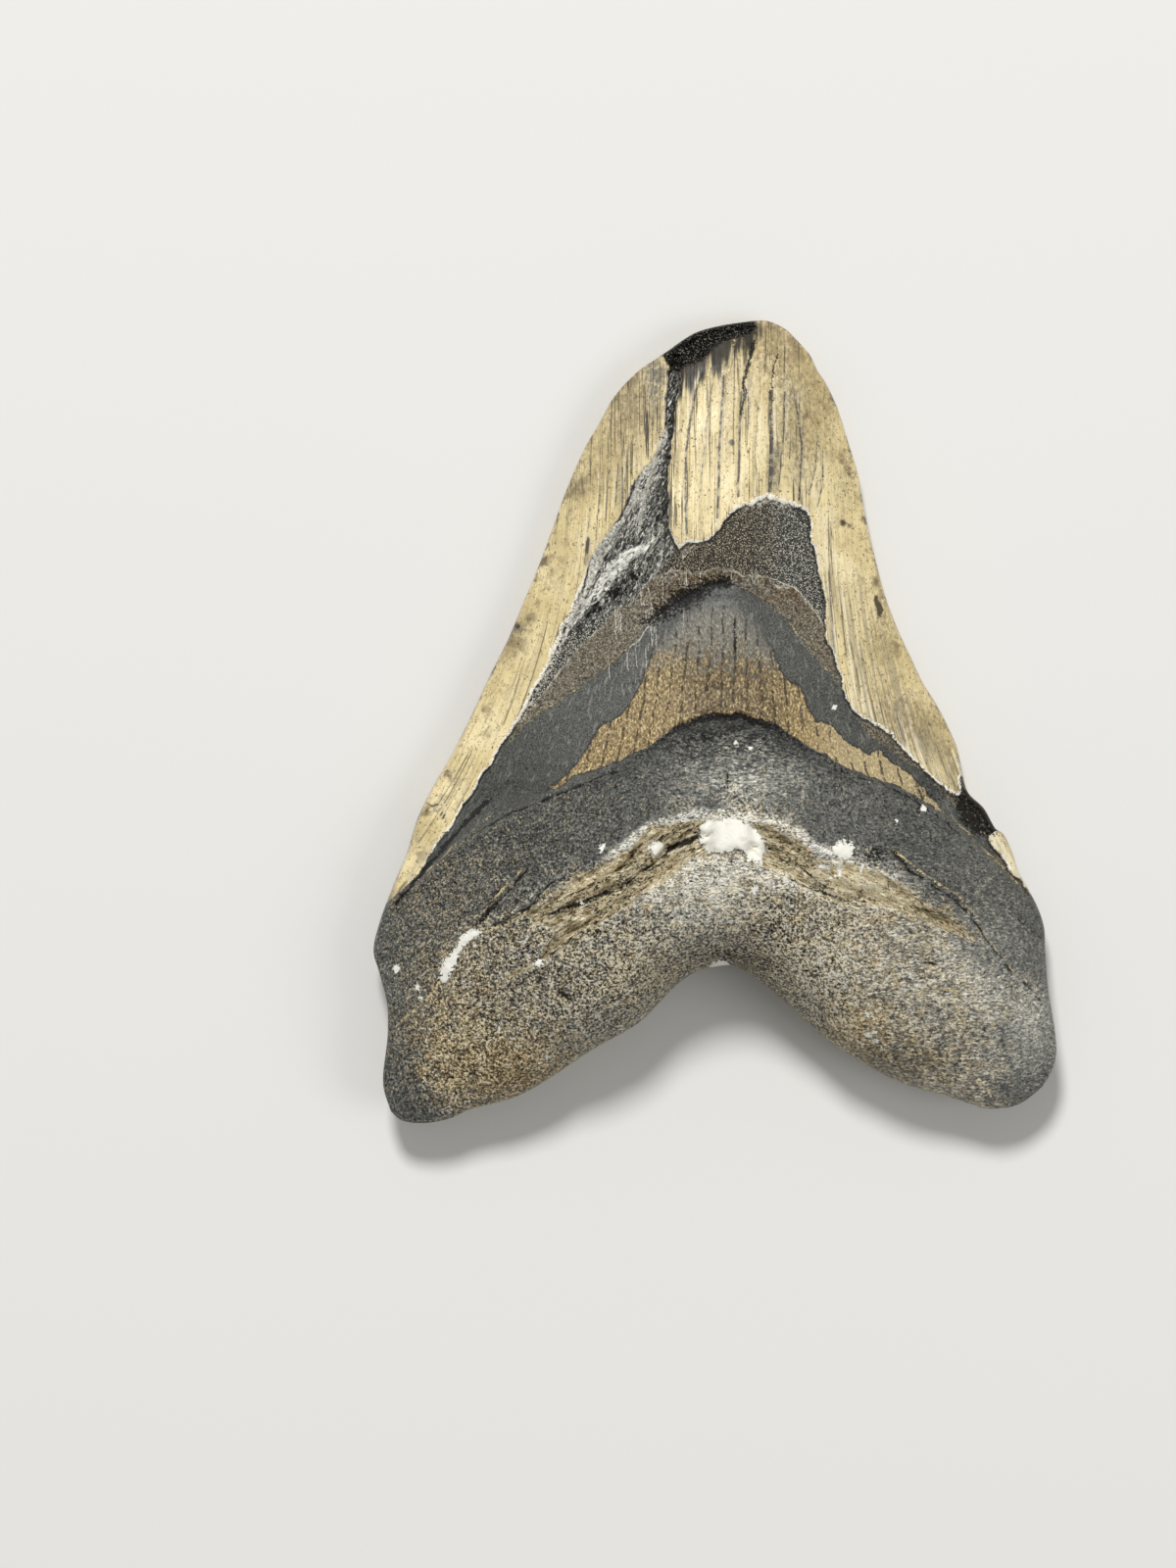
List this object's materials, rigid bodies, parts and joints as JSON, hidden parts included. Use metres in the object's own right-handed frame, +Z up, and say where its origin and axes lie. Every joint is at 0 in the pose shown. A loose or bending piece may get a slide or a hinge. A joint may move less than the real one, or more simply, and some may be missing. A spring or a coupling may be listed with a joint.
{
  "type": "megalodon tooth",
  "caption": "Fossil shark tooth lying flat: broad triangular crown with flaked enamel strips, thick bilobed root, chipped tip.",
  "frame": {"origin": "centre of the bounding box in plan, on the table plane that the labial face rests on", "axes": "+X across the tooth, to the right as seen from above; +Y from the root to the tip; +Z up through the lingual face"},
  "size_m": [0.1086, 0.128, 0.0271],
  "materials": {
    "fossil": "satin enamel and bare dentine on the crown, rough root"
  },
  "bodies": {
    "root": {"tooth": "fossil"}
  },
  "joints": []
}
